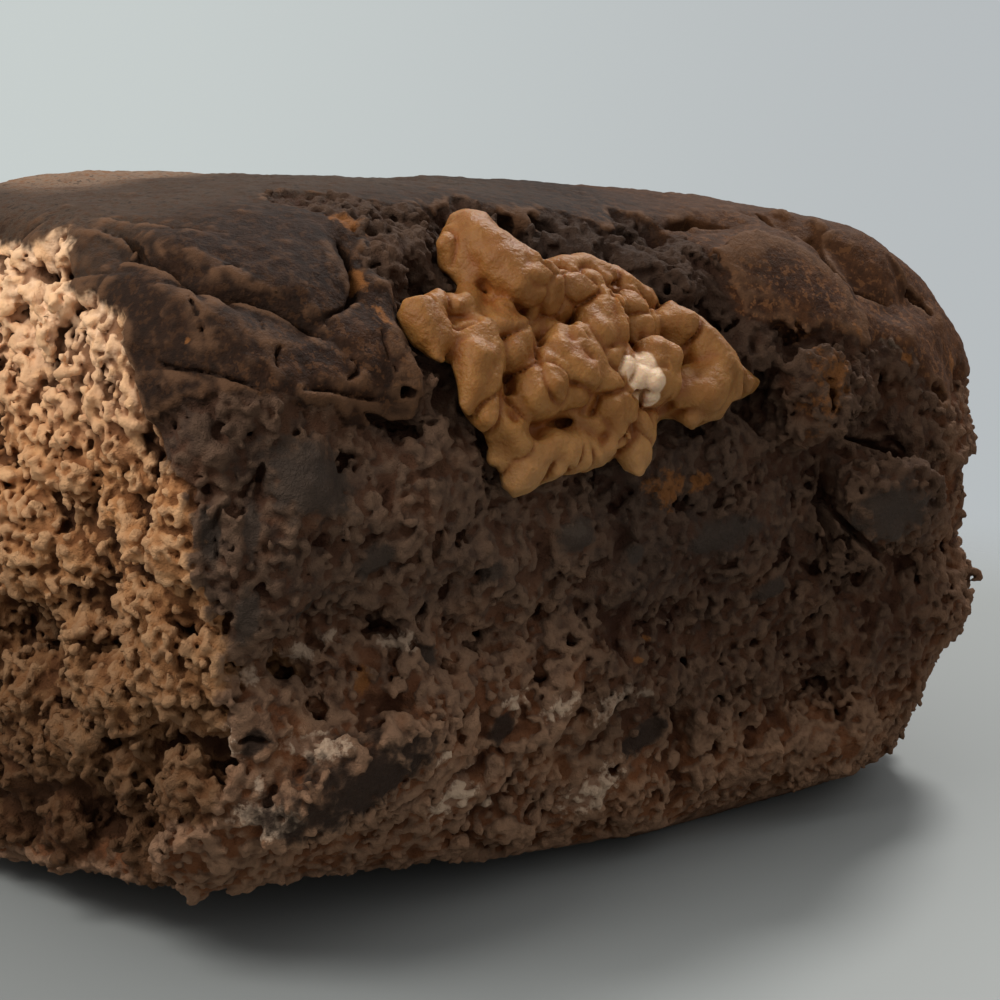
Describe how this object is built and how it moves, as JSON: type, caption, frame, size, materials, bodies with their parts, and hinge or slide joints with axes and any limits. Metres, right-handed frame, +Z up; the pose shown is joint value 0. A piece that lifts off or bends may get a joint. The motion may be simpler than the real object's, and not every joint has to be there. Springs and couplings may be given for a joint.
{
  "type": "peanut butter brownie",
  "caption": "Thick baked chocolate brownie bar, torn across one end, with a dollop of peanut butter set into a hollow of its shoulder.",
  "frame": {"origin": "on the surface that the brownie lies on, under the middle of its bounding box", "axes": "+Z up; +X along the bar to its rounded baked end, so the torn end faces -X; the side with the peanut butter faces -Y"},
  "size_m": [0.0638, 0.045, 0.0371],
  "materials": {
    "baked_crumb": "matt baked chocolate crumb with a faint dull sheen on the crust",
    "peanut_spread": "soft satin, slightly translucent"
  },
  "bodies": {
    "root": {"brownie": "baked_crumb", "peanut_butter": "peanut_spread"}
  },
  "joints": []
}
